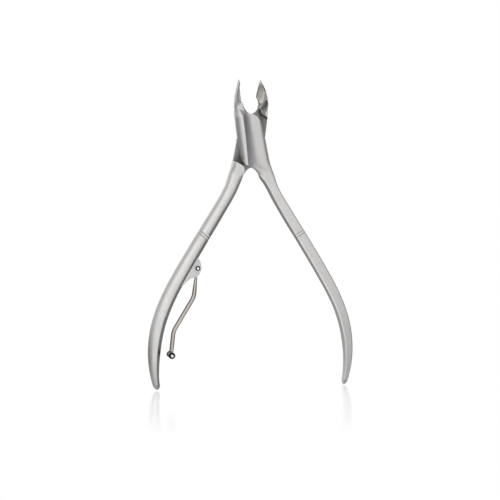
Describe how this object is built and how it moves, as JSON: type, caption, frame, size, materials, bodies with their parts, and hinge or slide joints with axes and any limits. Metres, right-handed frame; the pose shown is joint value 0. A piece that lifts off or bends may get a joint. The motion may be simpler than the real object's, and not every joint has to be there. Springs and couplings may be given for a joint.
{
  "type": "cuticle nipper",
  "caption": "Lap-joint cuticle nipper in satin steel, with hollow-ground jaws, bowed handles and a swing-away spring arm.",
  "frame": {"origin": "middle of the footprint, at the handle ends", "axes": "+Z from the handle ends to the jaw tips, +Y along the joint axis from the front lever to the back lever"},
  "size_m": [0.0726, 0.0082, 0.1074],
  "materials": {
    "satin_steel": "fine satin, brushed across the handle",
    "satin_steel_back": "fine satin, brushed along the handle",
    "rivet_steel": "ground flush with the lap",
    "lug_steel": "fine matt",
    "polished_steel": "polished dome",
    "wire_steel": "drawn wire, tempered to a brown grey",
    "cross_steel": "polished domes"
  },
  "bodies": {
    "back_lever": {"back_lever": "satin_steel_back", "joint_rivet": "rivet_steel", "spring_lug": "lug_steel", "spring_pin": "polished_steel"},
    "front_lever": {"front_lever": "satin_steel"},
    "spring_arm": {"spring_arm": "wire_steel", "cross_pin": "cross_steel"}
  },
  "joints": [
    {"name": "lap_joint", "type": "hinge", "parent": "back_lever", "child": "front_lever", "pos_m": [0, -0.00064, 0.0865], "axis": [0, 1, 0], "range_deg": [-3, 19.5]},
    {"name": "spring_arm_pivot", "type": "hinge", "parent": "back_lever", "child": "spring_arm", "pos_m": [-0.01914, -0.00064, 0.04215], "axis": [0, -1, 0], "range_deg": [-2, 65]}
  ]
}
